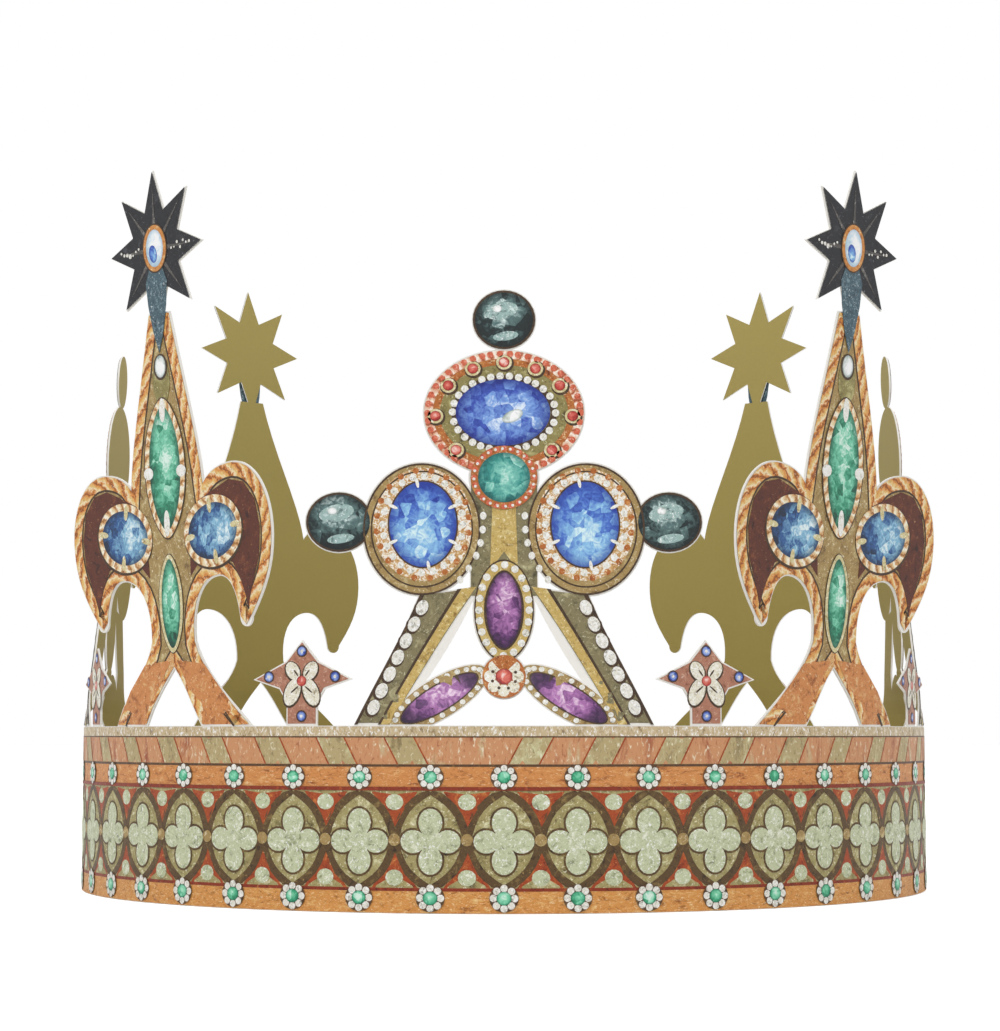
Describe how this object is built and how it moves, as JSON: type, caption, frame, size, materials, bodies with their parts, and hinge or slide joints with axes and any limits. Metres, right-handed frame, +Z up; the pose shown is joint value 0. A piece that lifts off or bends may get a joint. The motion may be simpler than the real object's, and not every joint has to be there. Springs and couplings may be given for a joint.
{
  "type": "paper crown",
  "caption": "Cut card crown: a printed band curled into a ring and glued behind, with trefoil, star-topped and small stud prongs standing from its upper edge.",
  "frame": {"origin": "centre of the ring, on its bottom edge", "axes": "+Z up along the ring's axis, -Y to the front trefoil prong, +X to the wearer's left"},
  "size_m": [0.1822, 0.1826, 0.1437],
  "materials": {
    "printed_card": "printed card, satin print outside and plain olive gold ink inside"
  },
  "bodies": {
    "root": {"crown_strip": "printed_card"}
  },
  "joints": []
}
